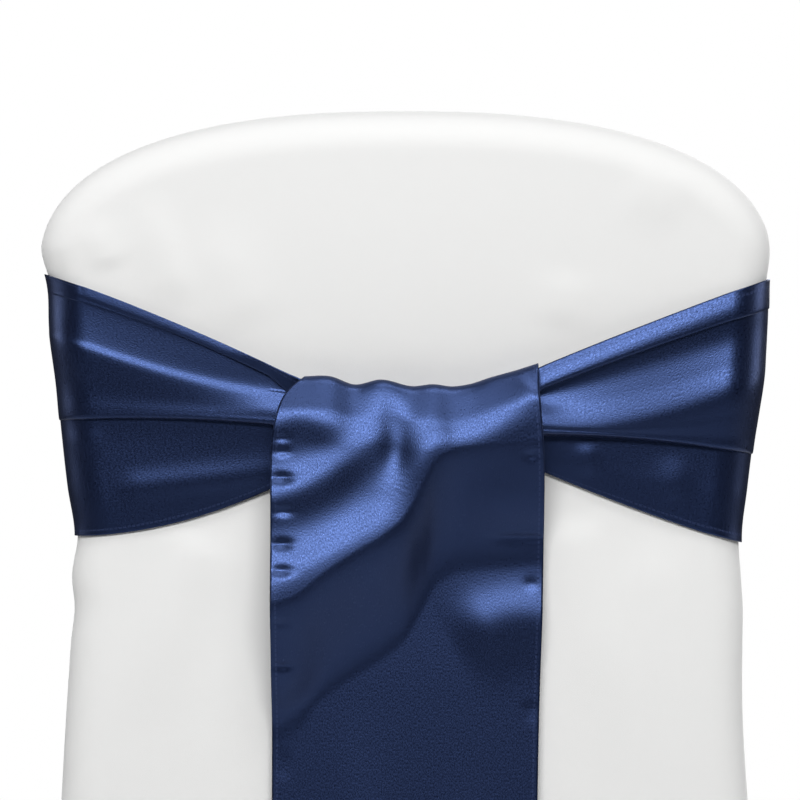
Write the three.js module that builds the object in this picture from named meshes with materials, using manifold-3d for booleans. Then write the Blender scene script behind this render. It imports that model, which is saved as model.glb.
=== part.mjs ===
// A fitted cover for a banquet chair, in plain white cloth, with a satin sash tied round its back.
//
// Millimetres, +Z up. The chair's back leans towards -Y, where the sash is tied. Its seat lies towards +Y.
// The cover is five sewn panels: one behind, one on the inside of the back, one that runs from there over the
// seat and down the front, and one on each side below the seat. The sash is one long strip: it goes round the
// back, is gathered behind it, and hangs over the gathers as a flat front tail with the other tail under it.
// Heights are measured from the floor. At the end everything is lowered, so that the part's origin is the
// underside of the crown, where the chair's top rail holds the cover up.

import * as THREE from "three";
import { mergeVertices } from "three/addons/utils/BufferGeometryUtils.js";
import Module from "manifold-3d";

const { clamp, lerp, degToRad, smoothstep } = THREE.MathUtils;

// Cloth
const COVER_CLOTH = 1.5;
const SASH_CLOTH = 1.2;
const SEAM_GAP = 0.6;
const LEAST_FACING = 0.65;

// The chair that the cover fits
const CROWN_TOP = 925;
const SHOULDER_HEIGHT = 835;
const SHOULDER_HALF = 207;
const CROWN_POWER = 2.4;
const BACK_ROLL = 22;
const FRONT_ROLL = 8;
const SEAM_DEPTH = 12;
const CROWN_HALF_THICKNESS = 24;
const LEAN = 0.13;
const BACK_BULGE = 3;
const SEAT_HEIGHT = 462;
const CREASE_RADIUS = 15;
const FRONT_EDGE_RADIUS = 30;
const SEAT_FRONT = 468;
const SEAT_WIDENING = 8;
const HEM_FLARE = 10;

// Half the cover's width, and where its outside back lies, from the floor to the shoulders and the crown
const SECTIONS = [
  { height: 0, half: 216, back: -28 },
  { height: 240, half: 207, back: -16 },
  { height: 470, half: 199, back: -3 },
  { height: 600, half: 191.5, back: 2 },
  { height: 660, half: 189.5, back: 3 },
  { height: 690, half: 187.5, back: 3 },
  { height: 740, half: 195, back: 0 },
  { height: 790, half: 199.5, back: -7 },
  { height: 820, half: 203, back: -11 },
  { height: SHOULDER_HEIGHT, half: SHOULDER_HALF, back: -13 },
  { height: CROWN_TOP, half: SHOULDER_HALF, back: -CROWN_HALF_THICKNESS },
];

// Where the strands of cloth are placed
const SKIRT_STEPS = [0, 0.25, 0.5, 0.75, 0.9, 1];
const UPPER_HEIGHTS = [530, 585, 640, 685, 722];
const FAN_HEIGHT = 760;
const CROWN_STRANDS = 28;
const SEAT_STEPS = [0.08, 0.3, 0.5, 0.7, 0.92];
const ARC_STEPS = [0, 30, 60, 90];
const SKIRT_CORNER = 12;
const BACK_FACE_STEPS = [0.11, 0.22, 0.34, 0.47, 0.62, 0.8, 1];
const FRONT_FACE_STEPS = [0.2, 0.45, 0.72, 1];

// Soft folds of the back panel: a line from one place to another, and how far the cloth rises along it
const BACK_FOLDS = [
  { x: -168, height: 840, toX: -181, toHeight: 870, rise: 2, spread: 12 },
  { x: -128, height: 820, toX: -146, toHeight: 880, rise: 2, spread: 14 },
  { x: -88, height: 800, toX: -112, toHeight: 868, rise: 2, spread: 17 },
  { x: 118, height: 885, toX: 160, toHeight: 868, rise: 2, spread: 15 },
  { x: -124, height: 668, toX: -152, toHeight: 560, rise: 5, spread: 17 },
  { x: -100, height: 655, toX: -108, toHeight: 330, rise: 4, spread: 24 },
  { x: 96, height: 670, toX: 112, toHeight: 420, rise: 4, spread: 20 },
  { x: 145, height: 655, toX: 160, toHeight: 380, rise: 4, spread: 18 },
  { x: -150, height: 300, toX: -158, toHeight: -60, rise: 9, spread: 26 },
  { x: -52, height: 360, toX: -58, toHeight: -60, rise: 8, spread: 30 },
  { x: 48, height: 340, toX: 56, toHeight: -60, rise: 9, spread: 28 },
  { x: 146, height: 330, toX: 152, toHeight: -60, rise: 8, spread: 26 },
];

// Folds of the skirts below the seat: how many, and how far they stand out at the hem
const SIDE_WAVES = { folds: 3, depth: 9 };
const FRONT_WAVES = { folds: 4, depth: 8 };

// The sash's lines, one above another from its lower hem to its top. Each has a height behind the front tail,
// at the tail's edge and at the chair's side, and how far it stands off the cover at those three places.
// A bow is how far the line rises above the straight between the tail's edge and the side.
const TAIL_HALF = 75.9;
const LEFT_WING = [
  { line: "hem", knot: 739, tail: 714, side: 686, bow: -6, off: [5, 5, 3.4] },
  { line: "crest", knot: 748, tail: 729, side: 702, bow: -4, off: [5, 8.2, 5] },
  { line: "valley", knot: 757, tail: 741, side: 726, bow: -2, off: [5, 6.5, 3.6] },
  { line: "inner", knot: 763, tail: 754, side: 742, bow: 0, off: [5, 6.2, 3.4] },
  { line: "bend behind", knot: 769, tail: 768, side: 759, bow: 0, off: [5, 6.2, 3.2] },
  { line: "bend before", knot: 769, tail: 768, side: 759, bow: 0, off: [8, 9.2, 5.8] },
  { line: "fold behind", knot: 740, tail: 750.5, side: 752.5, bow: 2, off: [8.2, 9.6, 7.2] },
  { line: "fold before", knot: 740, tail: 750.5, side: 752.5, bow: 2, off: [11.2, 12.6, 9.8] },
  { line: "face", knot: 748, tail: 757, side: 766, bow: 0, off: [11, 12.4, 8] },
  { line: "ridge", knot: 756, tail: 765, side: 805, bow: -3, off: [11, 12.2, 7.5] },
  { line: "trough", knot: 762, tail: 773, side: 815, bow: 0, off: [11, 11, 4] },
  { line: "strip bend behind", knot: 769, tail: 780, side: 822, bow: 1.5, off: [11, 11, 3.6] },
  { line: "strip bend before", knot: 769, tail: 780, side: 824, bow: 1.5, off: [14, 13.9, 3.8] },
  { line: "strip fold behind", knot: 742, tail: 777.5, side: 828, bow: 2, off: [14.2, 14.1, 3.8] },
  { line: "strip fold before", knot: 742, tail: 777.5, side: 830, bow: 2, off: [17, 16.8, 3.8] },
  { line: "top", knot: 768, tail: 782, side: 834, bow: 2, off: [16.8, 16.4, 3.6] },
];
const RIGHT_WING = [
  { line: "hem", knot: 739, tail: 724, side: 682, bow: -2, off: [5, 5, 4] },
  { line: "crest", knot: 748, tail: 732, side: 710, bow: -1, off: [5, 8.2, 6.5] },
  { line: "valley", knot: 757, tail: 739, side: 722, bow: -1, off: [5, 6.5, 4.2] },
  { line: "inner", knot: 763, tail: 748, side: 730, bow: 1, off: [5, 6.2, 4] },
  { line: "bend behind", knot: 769, tail: 764, side: 741, bow: 2.5, off: [5, 6.2, 3.6] },
  { line: "bend before", knot: 769, tail: 764, side: 741, bow: 2.5, off: [8, 9.2, 6.2] },
  { line: "fold behind", knot: 740, tail: 744.5, side: 733.5, bow: 2.5, off: [8.2, 9.6, 7.6] },
  { line: "fold before", knot: 740, tail: 744.5, side: 733.5, bow: 2.5, off: [11.2, 12.6, 10.2] },
  { line: "face", knot: 748, tail: 749, side: 745, bow: 0, off: [11, 12.4, 9.4] },
  { line: "ridge", knot: 756, tail: 754, side: 779, bow: -4, off: [11, 12.2, 9.5] },
  { line: "trough", knot: 762, tail: 764, side: 800, bow: 0, off: [11, 11, 4.4] },
  { line: "strip bend behind", knot: 769, tail: 778, side: 821, bow: 1, off: [11, 11, 3.6] },
  { line: "strip bend before", knot: 769, tail: 778, side: 821, bow: 1, off: [14, 13.9, 6.2] },
  { line: "strip fold behind", knot: 742, tail: 770, side: 815.5, bow: 1, off: [14.2, 14.1, 7.9] },
  { line: "strip fold before", knot: 742, tail: 770, side: 815.5, bow: 1, off: [17, 16.8, 10.6] },
  { line: "top", knot: 768, tail: 782.5, side: 831.5, bow: 1, off: [16.8, 16.4, 7.5] },
];
const PLAIN_BAND = { bottom: 685, top: 833, off: 1.4 };

// Places round the back: 0 is the middle behind, 1 to 2 the rounded edge, 2 to 3 the side, 3 to 4 the front
// edge and 5 the middle of the inside
const WING_PLACES = [
  ...[0.11, 0.21, 0.32, 0.45, 0.54, 0.63, 0.72, 0.82, 0.91, 1],
  ...[1.25, 1.5, 1.75, 2, 2.5, 3, 3.35, 3.7],
];
const BAND_PLACES = [4, 4.12, 4.24, 4.36, 4.5, 4.7];

// The tails: the under tail hangs next to the cover, then the strip goes up behind the gathers, over them and
// down in front
const TAIL_HEM = 66;
const UNDER_OFF = 2.2;
const OVER_OFF = 20.6;
const HANGING_OFF = 7.5;
const OVER_HEIGHTS = { leaves: 748, hangs: 640 };
const UNDER_HEIGHTS = [685, 722, 740, 755];
const OVER_ROWS = [758, 749, 740, 731, 722, 713, 704, 694, 685, 674, 662, 649, 634, 612];
const TAIL_COLUMNS = 10;
const TAIL_EDGES = [
  { height: TAIL_HEM, left: -76, right: 76 },
  { height: 604, left: -75, right: 75 },
  { height: 650, left: -75, right: 76.5 },
  { height: 700, left: -75, right: 77 },
  { height: 733, left: -75, right: 76 },
  { height: 750, left: -73, right: 75 },
  { height: 760, left: -69, right: 74 },
  { height: 772, left: -60, right: 73.5 },
];
const UNDER_EDGES = [
  { height: TAIL_HEM, left: -66, right: 69 },
  { height: 720, left: -66, right: 69 },
  { height: 772, left: -60, right: 73.5 },
];
const TAIL_TOPS = [
  { x: -60, height: 775.5 },
  { x: -39, height: 776 },
  { x: -27, height: 773.5 },
  { x: -14, height: 776 },
  { x: 4, height: 774 },
  { x: 28, height: 774 },
  { x: 46, height: 778.5 },
  { x: 60, height: 782 },
  { x: 74, height: 785 },
];
const TAIL_FOLDS = [
  { x: -12, height: 760, viaX: -19, viaHeight: 734, toX: -57, toHeight: 708, rise: 6, spread: 11 },
  { x: 14, height: 750, viaX: 9, viaHeight: 714, toX: -50, toHeight: 670, rise: 7, spread: 13 },
  { x: 10, height: 742, viaX: 33, viaHeight: 741, toX: 66, toHeight: 766, rise: 4, spread: 10 },
  { x: 48, height: 705, viaX: 66, viaHeight: 650, toX: 70, toHeight: 600, rise: 5, spread: 16 },
  { x: -48, height: 640, viaX: -56, viaHeight: 600, toX: -60, toHeight: 300, rise: 4, spread: 18 },
  { x: 8, height: 640, viaX: 18, viaHeight: 560, toX: 4, toHeight: 60, rise: 5, spread: 24 },
];

// ---- Reading the tables ----

// A column of a table as a smooth curve.
function curveOf(table, key, field) {
  const curve = new THREE.CubicInterpolant(
    table.map((row) => row[key]),
    table.map((row) => row[field]),
    1,
  );
  return (at) => curve.evaluate(at)[0];
}

// How far folded cloth rises at a place, from a table of folds that each follow a bent line.
function riseOf(folds, x, height) {
  let rise = 0;
  const at = new THREE.Vector3(x, height, 0);
  for (const fold of folds) {
    const from = new THREE.Vector3(fold.x, fold.height, 0);
    const to = new THREE.Vector3(fold.toX, fold.toHeight, 0);
    const via = new THREE.Vector3(fold.viaX ?? lerp(fold.x, fold.toX, 0.5), 0, 0);
    via.y = fold.viaHeight ?? lerp(fold.height, fold.toHeight, 0.5);
    const nearest = [new THREE.Line3(from, via), new THREE.Line3(via, to)].map((line) =>
      line.closestPointToPoint(at, true, new THREE.Vector3()).distanceTo(at),
    );
    rise += fold.rise * Math.exp(-((Math.min(...nearest) / fold.spread) ** 2));
  }
  return rise;
}

// ---- The shape of the cover ----

const halfAt = curveOf(SECTIONS, "height", "half");
const backAt = curveOf(SECTIONS, "height", "back");
const insideAt = (height) => CROWN_HALF_THICKNESS + LEAN * (CROWN_TOP - height);

const CREASE_TOP = SEAT_HEIGHT + CREASE_RADIUS;
const CREASE_BACK = insideAt(CREASE_TOP);
const REAR_SEAM = CREASE_BACK - SEAM_DEPTH;
const SIDE_TOP = SEAT_HEIGHT - FRONT_EDGE_RADIUS;
const LOWER_HEIGHTS = SKIRT_STEPS.map((step) => step * CREASE_TOP);
const INSIDE_HEIGHTS = [CREASE_TOP + SEAM_GAP, ...UPPER_HEIGHTS];

// The outside back's surface, bulging a little in the middle.
function backFaceAt(x, height) {
  const bulge = BACK_BULGE * (1 - Math.min(1, Math.abs(x) / halfAt(height)) ** 2);
  return backAt(height) - bulge - riseOf(BACK_FOLDS, x, height);
}

// Half the cover's width at a place beside the seat, which widens towards the front.
function sideAt(y, height) {
  const share = clamp((y - REAR_SEAM) / (SEAT_FRONT - REAR_SEAM), 0, 1);
  return halfAt(height) + SEAT_WIDENING * share;
}

// The outline of the back from behind, from the left side over the crown to the right side.
function crownOutline() {
  const points = [];
  for (let height = FAN_HEIGHT; height < SHOULDER_HEIGHT; height += 5) {
    points.push(new THREE.Vector3(-halfAt(height), 0, height));
  }
  for (let degrees = 0; degrees <= 90; degrees += 3) {
    const turn = degToRad(degrees);
    const across = Math.max(0, Math.cos(turn)) ** (2 / CROWN_POWER);
    const up = Math.sin(turn) ** (2 / CROWN_POWER);
    const height = SHOULDER_HEIGHT + (CROWN_TOP - SHOULDER_HEIGHT) * up;
    points.push(new THREE.Vector3(-SHOULDER_HALF * across, 0, height));
  }
  const left = points.slice(0, -1).map((point) => new THREE.Vector3(-point.x, 0, point.z));
  return new THREE.CatmullRomCurve3([...points, ...left.reverse()]);
}

const OUTLINE = crownOutline();

// The rim of the back as places on its outline, each with the way out of the outline there and the place in
// the middle that the cloth runs to.
function rimPlaces(lowerHeights) {
  const rim = [];
  const rowOf = (height, side) => ({
    x: side * halfAt(height),
    height,
    out: { x: side, height: 0 },
    middle: { x: 0, height },
  });
  for (const height of lowerHeights) {
    rim.push(rowOf(height, -1));
  }
  for (let strand = 0; strand <= CROWN_STRANDS; strand += 1) {
    const point = OUTLINE.getPointAt(strand / CROWN_STRANDS);
    const along = OUTLINE.getTangentAt(strand / CROWN_STRANDS);
    rim.push({
      x: point.x,
      height: point.z,
      out: { x: -along.z, height: along.x },
      middle: { x: 0, height: FAN_HEIGHT },
    });
  }
  for (const height of [...lowerHeights].reverse()) {
    rim.push(rowOf(height, 1));
  }
  return rim;
}

// ---- Making cloth ----

// A grid of points as triangles: one row of points after another, facing (along the row) x (to the next row).
function trianglesOf(rows, turned) {
  const corners = [];
  for (let i = 0; i + 1 < rows.length; i += 1) {
    for (let j = 0; j + 1 < rows[i].length; j += 1) {
      const [a, b] = [rows[i][j], rows[i][j + 1]];
      const [c, d] = [rows[i + 1][j], rows[i + 1][j + 1]];
      corners.push(...(turned ? [a, c, b, b, c, d] : [a, b, c, b, d, c]));
    }
  }
  return corners;
}

// The way out of the cloth at each point of a surface: longer at a sharp fold, so that the cloth that is made
// by going along it keeps its thickness there.
function waysOut(points, faces) {
  const ways = points.map(() => new THREE.Vector3());
  const shares = points.map(() => []);
  for (const face of faces) {
    const corners = face.map((number) => points[number]);
    const flat = new THREE.Triangle(...corners).getNormal(new THREE.Vector3());
    corners.forEach((corner, turn) => {
      const next = corners[(turn + 1) % 3].clone().sub(corner);
      const last = corners[(turn + 2) % 3].clone().sub(corner);
      const angle = next.angleTo(last);
      ways[face[turn]].addScaledVector(flat, angle);
      shares[face[turn]].push({ flat, angle });
    });
  }
  ways.forEach((way, number) => {
    way.normalize();
    const whole = shares[number].reduce((sum, share) => sum + share.angle, 0);
    const facing = shares[number].reduce((sum, share) => sum + share.angle * share.flat.dot(way), 0);
    way.divideScalar(Math.max(LEAST_FACING, facing / whole));
  });
  return ways;
}

// A sheet of cloth: the surface of the triangles, made solid from so far over it to so far under it.
function sheetOf(corners, over, under) {
  const surface = mergeVertices(new THREE.BufferGeometry().setFromPoints(corners), 1e-3);
  const { position } = surface.attributes;
  const pointOf = (_, i) => new THREE.Vector3().fromBufferAttribute(position, i);
  const middle = Array.from({ length: position.count }, pointOf);
  const top = [];
  for (let i = 0; i < surface.index.count; i += 3) {
    const face = [0, 1, 2].map((corner) => surface.index.getX(i + corner));
    if (new Set(face).size === 3) {
      top.push(face);
    }
  }
  const ways = waysOut(middle, top);
  const sideAt = (off) => middle.map((point, number) => point.clone().addScaledVector(ways[number], off));

  const count = middle.length;
  const edges = new Map();
  for (const [a, b, c] of top) {
    for (const [from, to] of [[a, b], [b, c], [c, a]]) {
      edges.set(`${from},${to}`, [from, to]);
    }
  }
  const bottom = top.map(([a, b, c]) => [c + count, b + count, a + count]);
  const rim = [...edges.values()]
    .filter(([from, to]) => !edges.has(`${to},${from}`))
    .flatMap(([from, to]) => [
      [to, from, from + count],
      [to, from + count, to + count],
    ]);
  return new THREE.BufferGeometry()
    .setFromPoints([...sideAt(over), ...sideAt(-under)])
    .setIndex([...top, ...bottom, ...rim].flat());
}

// ---- The cover's panels ----

const pointAt = (x, y, z) => new THREE.Vector3(x, y, z);

// One strand of the back panel: from the side seam, round the rolled edge and across to the middle.
function backStrand({ x, height, out, middle }) {
  const strand = [];
  const seam = height > CREASE_TOP ? insideAt(height) - SEAM_DEPTH : REAR_SEAM;
  const edge = backFaceAt(x, height);
  for (const share of [0, 0.5]) {
    strand.push(pointAt(x, lerp(seam, edge + BACK_ROLL, share), height));
  }
  for (const degrees of [...ARC_STEPS].reverse()) {
    const inward = BACK_ROLL * (1 - Math.sin(degToRad(degrees)));
    const at = { x: x - inward * out.x, height: height - inward * out.height };
    const deep = BACK_ROLL * (1 - Math.cos(degToRad(degrees)));
    strand.push(pointAt(at.x, backFaceAt(at.x, at.height) + deep, at.height));
  }
  const start = strand.at(-1);
  for (const share of BACK_FACE_STEPS) {
    const at = { x: lerp(start.x, middle.x, share), height: lerp(start.z, middle.height, share) };
    strand.push(pointAt(at.x, backFaceAt(at.x, at.height), at.height));
  }
  return strand;
}

function backPanel() {
  const rim = rimPlaces([...LOWER_HEIGHTS, ...UPPER_HEIGHTS]);
  return sheetOf(trianglesOf(rim.map(backStrand), false), 0, COVER_CLOTH);
}

// One strand of the inside panel: from the seam to the middle of the inside of the back.
function insideStrand({ x, height, out, middle }) {
  const strand = [];
  const face = (at) => insideAt(at);
  strand.push(pointAt(x, face(height) - SEAM_DEPTH + SEAM_GAP, height));
  for (const degrees of [...ARC_STEPS].reverse()) {
    const inward = FRONT_ROLL * (1 - Math.sin(degToRad(degrees)));
    const at = { x: x - inward * out.x, height: height - inward * out.height };
    const deep = FRONT_ROLL * (1 - Math.cos(degToRad(degrees)));
    strand.push(pointAt(at.x, face(at.height) - deep, at.height));
  }
  const start = strand.at(-1);
  for (const share of FRONT_FACE_STEPS) {
    const at = { x: lerp(start.x, middle.x, share), height: lerp(start.z, middle.height, share) };
    strand.push(pointAt(at.x, face(at.height), at.height));
  }
  return strand;
}

// The way of the seat panel's middle, from its hem to the inside of the back: up the front, over the front
// edge, along the seat and up the crease, each place with the angle of the way out of the cloth.
function seatPath(creaseSteps) {
  const path = [];
  for (const step of SKIRT_STEPS.slice(0, -1)) {
    path.push({ y: SEAT_FRONT + HEM_FLARE * (1 - step), height: step * SIDE_TOP, out: 0 });
  }
  for (const degrees of ARC_STEPS) {
    const turn = degToRad(degrees);
    path.push({
      y: SEAT_FRONT - FRONT_EDGE_RADIUS * (1 - Math.cos(turn)),
      height: SIDE_TOP + FRONT_EDGE_RADIUS * Math.sin(turn),
      out: degrees,
    });
  }
  const rear = CREASE_BACK + CREASE_RADIUS;
  for (const step of SEAT_STEPS) {
    path.push({ y: lerp(SEAT_FRONT - FRONT_EDGE_RADIUS, rear, step), height: SEAT_HEIGHT, out: 90 });
  }
  for (const degrees of [...creaseSteps].reverse()) {
    const turn = degToRad(degrees);
    path.push({
      y: rear - CREASE_RADIUS * Math.cos(turn),
      height: CREASE_TOP - CREASE_RADIUS * Math.sin(turn),
      out: degrees,
    });
  }
  return path;
}

// How far the skirts' folds stand out: nothing at the seat and at both seams, most at the hem.
function waveAt(waves, share, height) {
  const growth = clamp(1 - height / SIDE_TOP, 0, 1) ** 1.3;
  return waves.depth * growth * Math.sin(Math.PI * share) * Math.sin(Math.PI * share * (2 * waves.folds - 1));
}

// One strand of the seat panel, from its seam on one side to its middle.
function seatStrand({ y, height, out }, side) {
  const strand = [];
  const half = sideAt(y, height);
  const outward = { y: Math.cos(degToRad(out)), height: Math.sin(degToRad(out)) };
  const add = (x, deep) => {
    const wave = deep > 0 ? 0 : waveAt(FRONT_WAVES, 0.5 + x / (2 * half), height);
    strand.push(pointAt(x, y - (deep - wave) * outward.y, height - deep * outward.height));
  };
  add(side * half, SEAM_DEPTH - SEAM_GAP);
  for (const degrees of [...ARC_STEPS].reverse()) {
    const turn = degToRad(degrees);
    add(side * (half - FRONT_ROLL * (1 - Math.sin(turn))), FRONT_ROLL * (1 - Math.cos(turn)));
  }
  for (const share of FRONT_FACE_STEPS) {
    add(side * (half - FRONT_ROLL) * (1 - share), 0);
  }
  return strand;
}

// The inside panel and the seat panel are sewn together along the crease behind the seat.
function insidePanel() {
  return sheetOf(trianglesOf(rimPlaces(INSIDE_HEIGHTS).map(insideStrand), true), 0, COVER_CLOTH);
}

function seatPanel() {
  const rows = seatPath(ARC_STEPS).map((place) => [
    ...seatStrand(place, -1),
    ...seatStrand(place, 1).reverse().slice(1),
  ]);
  return sheetOf(trianglesOf(rows, true), 0, COVER_CLOTH);
}

// A side skirt: columns of cloth that hang from the seat's seam, from the back panel to the front panel.
function sideSkirt(side) {
  const seam = seatPath([SKIRT_CORNER, ...ARC_STEPS.slice(1)])
    .slice(SKIRT_STEPS.length - 1)
    .reverse()
    .map(({ y, height, out }) => ({
      y: y - SEAM_DEPTH * Math.cos(degToRad(out)),
      height: height - SEAM_DEPTH * Math.sin(degToRad(out)),
    }));
  const rear = REAR_SEAM + SEAM_GAP;
  const front = SEAT_FRONT - SEAM_DEPTH;
  const columns = seam.map((top) => {
    const share = clamp((top.y - REAR_SEAM) / (front - REAR_SEAM), 0, 1);
    return SKIRT_STEPS.map((step) => {
      const height = step * top.height;
      const flare = share * HEM_FLARE * (1 - step);
      const y = lerp(lerp(rear, front, share), Math.max(top.y, rear), step) + flare;
      const x = sideAt(y, height) + waveAt(SIDE_WAVES, share, height);
      return pointAt(side * x, y, height);
    });
  });
  return sheetOf(trianglesOf(columns, side > 0), 0, COVER_CLOTH);
}

// ---- The sash ----

// A place on the outside of the cover's back: how far round it is, its height and how far it stands off.
function aroundBack(side, place, height, off) {
  const half = halfAt(height);
  const inside = insideAt(height);
  const corner = half - BACK_ROLL;
  const behind = backFaceAt(side * corner, height);
  if (place <= 1) {
    const x = side * place * corner;
    return pointAt(x, backFaceAt(x, height) - off, height);
  }
  if (place <= 2) {
    const turn = degToRad(90 * (place - 1));
    const reach = BACK_ROLL + off;
    const x = corner + reach * Math.sin(turn);
    return pointAt(side * x, behind + BACK_ROLL - reach * Math.cos(turn), height);
  }
  if (place <= 3) {
    return pointAt(side * (half + off), lerp(behind + BACK_ROLL, inside - FRONT_ROLL, place - 2), height);
  }
  if (place <= 4) {
    const turn = degToRad(90 * (place - 3));
    const reach = FRONT_ROLL + off;
    const x = half - FRONT_ROLL + reach * Math.cos(turn);
    return pointAt(side * x, inside - FRONT_ROLL + reach * Math.sin(turn), height);
  }
  return pointAt(side * (half - FRONT_ROLL) * (5 - place), inside + off, height);
}

// All the lines of a wing of the sash at one place round the back.
function wingStation(wing, side, place) {
  const half = halfAt(760);
  const corner = half - BACK_ROLL;
  const turned = degToRad(90 * clamp(place - 1, 0, 1));
  const x = Math.min(place, 1) * corner + BACK_ROLL * Math.sin(turned);
  return wing.map((line, number) => {
    const plain = lerp(PLAIN_BAND.bottom, PLAIN_BAND.top, number / (wing.length - 1));
    const [knotOff, tailOff, sideOff] = line.off;
    if (x < TAIL_HALF) {
      const share = x / TAIL_HALF;
      const height = lerp(line.knot, line.tail, share ** 2);
      return aroundBack(side, place, height, lerp(knotOff, tailOff, share));
    }
    const share = clamp((x - TAIL_HALF) / (half - TAIL_HALF), 0, 1);
    const bow = 4 * line.bow * share * (1 - share);
    const height = lerp(line.tail, line.side, share) + bow;
    const flat = clamp((place - 4) / 0.6, 0, 1);
    const off = lerp(tailOff, sideOff, share);
    const offNow = lerp(off, PLAIN_BAND.off, clamp(3 * flat - 2, 0, 1));
    return aroundBack(side, place, lerp(height, plain, flat), offNow);
  });
}

// The part of the sash that goes round the back, with its gathers.
function sashBand() {
  const left = [0, ...WING_PLACES, ...BAND_PLACES].map((place) => wingStation(LEFT_WING, -1, place));
  const right = [...WING_PLACES, ...BAND_PLACES].map((place) => wingStation(RIGHT_WING, 1, place));
  const middle = wingStation(RIGHT_WING, 1, 5);
  const stations = [...left, middle, ...right.reverse(), left[0]];
  return sheetOf(trianglesOf(stations, true), SASH_CLOTH / 2, SASH_CLOTH / 2);
}

// The tails of the sash, and the strip between them that goes up behind the gathers and over them.
function sashTails() {
  const tailLeft = curveOf(TAIL_EDGES, "height", "left");
  const tailRight = curveOf(TAIL_EDGES, "height", "right");
  const underLeft = curveOf(UNDER_EDGES, "height", "left");
  const underRight = curveOf(UNDER_EDGES, "height", "right");
  const topAt = curveOf(TAIL_TOPS, "x", "height");
  const radius = (OVER_OFF - UNDER_OFF) / 2;
  const place = (x, height, off) => pointAt(x, backFaceAt(x, height) - off, height);
  const belowGathers = [...LOWER_HEIGHTS, ...UPPER_HEIGHTS.slice(0, 3)];
  const hanging = [TAIL_HEM, ...belowGathers.filter((height) => height > TAIL_HEM)];
  const rows = [...hanging, ...UNDER_HEIGHTS].map((height) => ({
    height,
    left: underLeft(height),
    right: underRight(height),
  }));
  for (const degrees of [0, 30, 60, 90, 120, 150, 180]) {
    rows.push({ degrees, left: tailLeft(780), right: tailRight(780) });
  }
  for (const height of [...OVER_ROWS, ...hanging.slice(0, -1).reverse()]) {
    rows.push({ height, front: true, left: tailLeft(height), right: tailRight(height) });
  }
  const grid = rows.map(({ height, degrees, front, left, right }) => {
    const row = [];
    for (let column = 0; column <= TAIL_COLUMNS; column += 1) {
      const x = lerp(left, right, column / TAIL_COLUMNS);
      if (degrees !== undefined) {
        const turn = degToRad(degrees);
        const level = topAt(x) - radius - SASH_CLOTH / 2;
        row.push(place(x, level + radius * Math.sin(turn), UNDER_OFF + radius * (1 - Math.cos(turn))));
      } else if (front) {
        const down = smoothstep(height, OVER_HEIGHTS.hangs, OVER_HEIGHTS.leaves);
        row.push(place(x, height, lerp(HANGING_OFF, OVER_OFF, down) + riseOf(TAIL_FOLDS, x, height)));
      } else {
        row.push(place(x, height, UNDER_OFF));
      }
    }
    return row;
  });
  return sheetOf(trianglesOf(grid, false), SASH_CLOTH / 2, SASH_CLOTH / 2);
}

const manifold = await Module();
manifold.setup();

function solidOf(geometry) {
  const merged = mergeVertices(geometry, 1e-4);
  return new manifold.Manifold(
    new manifold.Mesh({
      numProp: 3,
      vertProperties: merged.attributes.position.array,
      triVerts: new Uint32Array(merged.index.array),
    }),
  );
}

function geometryOf(solid) {
  const mesh = solid.getMesh();
  return new THREE.BufferGeometry()
    .setAttribute("position", new THREE.BufferAttribute(mesh.vertProperties, 3))
    .setIndex(new THREE.BufferAttribute(mesh.triVerts, 1));
}

function sash() {
  return geometryOf(solidOf(sashBand()).add(solidOf(sashTails())));
}

// ---- The part ----

const WHITE_CLOTH = new THREE.MeshStandardMaterial({ name: "white_cloth", color: 0xf2f2f0, roughness: 0.85 });
const NAVY_SATIN = new THREE.MeshStandardMaterial({ name: "navy_satin", color: 0x1b2750, roughness: 0.4 });

const part = new THREE.Group();
const cover = new THREE.Group();
cover.position.z = -(CROWN_TOP - COVER_CLOTH);
part.add(cover);

function addPiece(name, geometry, material) {
  const mesh = new THREE.Mesh(geometry, material);
  mesh.name = name;
  cover.add(mesh);
}

addPiece("back_panel", backPanel(), WHITE_CLOTH);
addPiece("inside_panel", insidePanel(), WHITE_CLOTH);
addPiece("seat_panel", seatPanel(), WHITE_CLOTH);
addPiece("left_skirt", sideSkirt(-1), WHITE_CLOTH);
addPiece("right_skirt", sideSkirt(1), WHITE_CLOTH);
addPiece("sash", sash(), NAVY_SATIN);

export default part;
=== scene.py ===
"""The looks of a banquet chair's cover with a satin sash tied round its back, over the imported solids.

The cover and the sash are worked out in millimetres, in heights above the floor. Their meshes are in metres,
with z = 0 at the underside of the crown's cloth. The sash is tied on the -Y side, and +X is to its right.
"""
import math

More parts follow.
